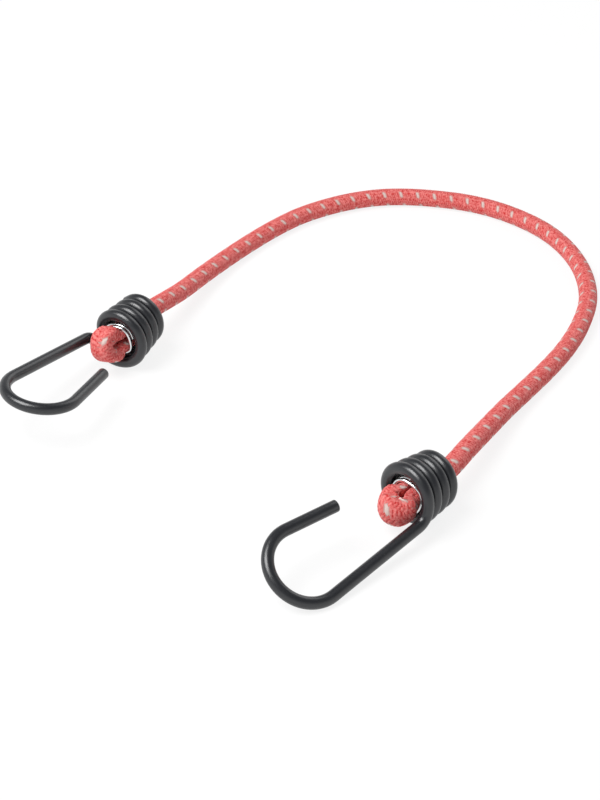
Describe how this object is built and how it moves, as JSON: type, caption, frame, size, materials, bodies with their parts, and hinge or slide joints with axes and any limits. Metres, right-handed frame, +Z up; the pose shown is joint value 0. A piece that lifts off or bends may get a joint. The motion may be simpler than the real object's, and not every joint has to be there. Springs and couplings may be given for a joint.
{
  "type": "bungee cord with wire hooks",
  "caption": "Elastic cord in a braided sleeve, folded and clipped at each end inside the coil of a coated wire hook, for strapping down loads.",
  "frame": {"origin": "on the table, under the middle of the box round the two hooks and clips", "axes": "+Z up from the table, +X to the right in the picture, +Y away from the viewer"},
  "size_m": [0.2393, 0.2925, 0.0249],
  "materials": {
    "sleeve": "braided polyester yarn, matt, with a pale tracer",
    "rubber": "natural latex strand",
    "hook_coat": "black PVC coat, satin gloss",
    "hook_wire": "drawn steel wire",
    "clip": "bright zinc-plated wire"
  },
  "bodies": {
    "cord": {"sleeve": "sleeve", "strand_1": "rubber", "strand_2": "rubber", "strand_3": "rubber", "strand_4": "rubber", "strand_5": "rubber", "strand_6": "rubber", "strand_7": "rubber", "clip_a": "clip", "clip_b": "clip"},
    "hook_a": {"hook_coat_a": "hook_coat", "hook_wire_a": "hook_wire"},
    "hook_b": {"hook_coat_b": "hook_coat", "hook_wire_b": "hook_wire"}
  },
  "joints": [
    {"name": "hook_a_swivel", "type": "hinge", "parent": "cord", "child": "hook_a", "pos_m": [0.06555, -0.03741, 0.01244], "axis": [-0.666, -0.7422, 0.075], "continuous": true},
    {"name": "hook_b_swivel", "type": "hinge", "parent": "cord", "child": "hook_b", "pos_m": [-0.04385, 0.06409, 0.01249], "axis": [-0.4765, -0.8776, -0.0523], "continuous": true}
  ]
}
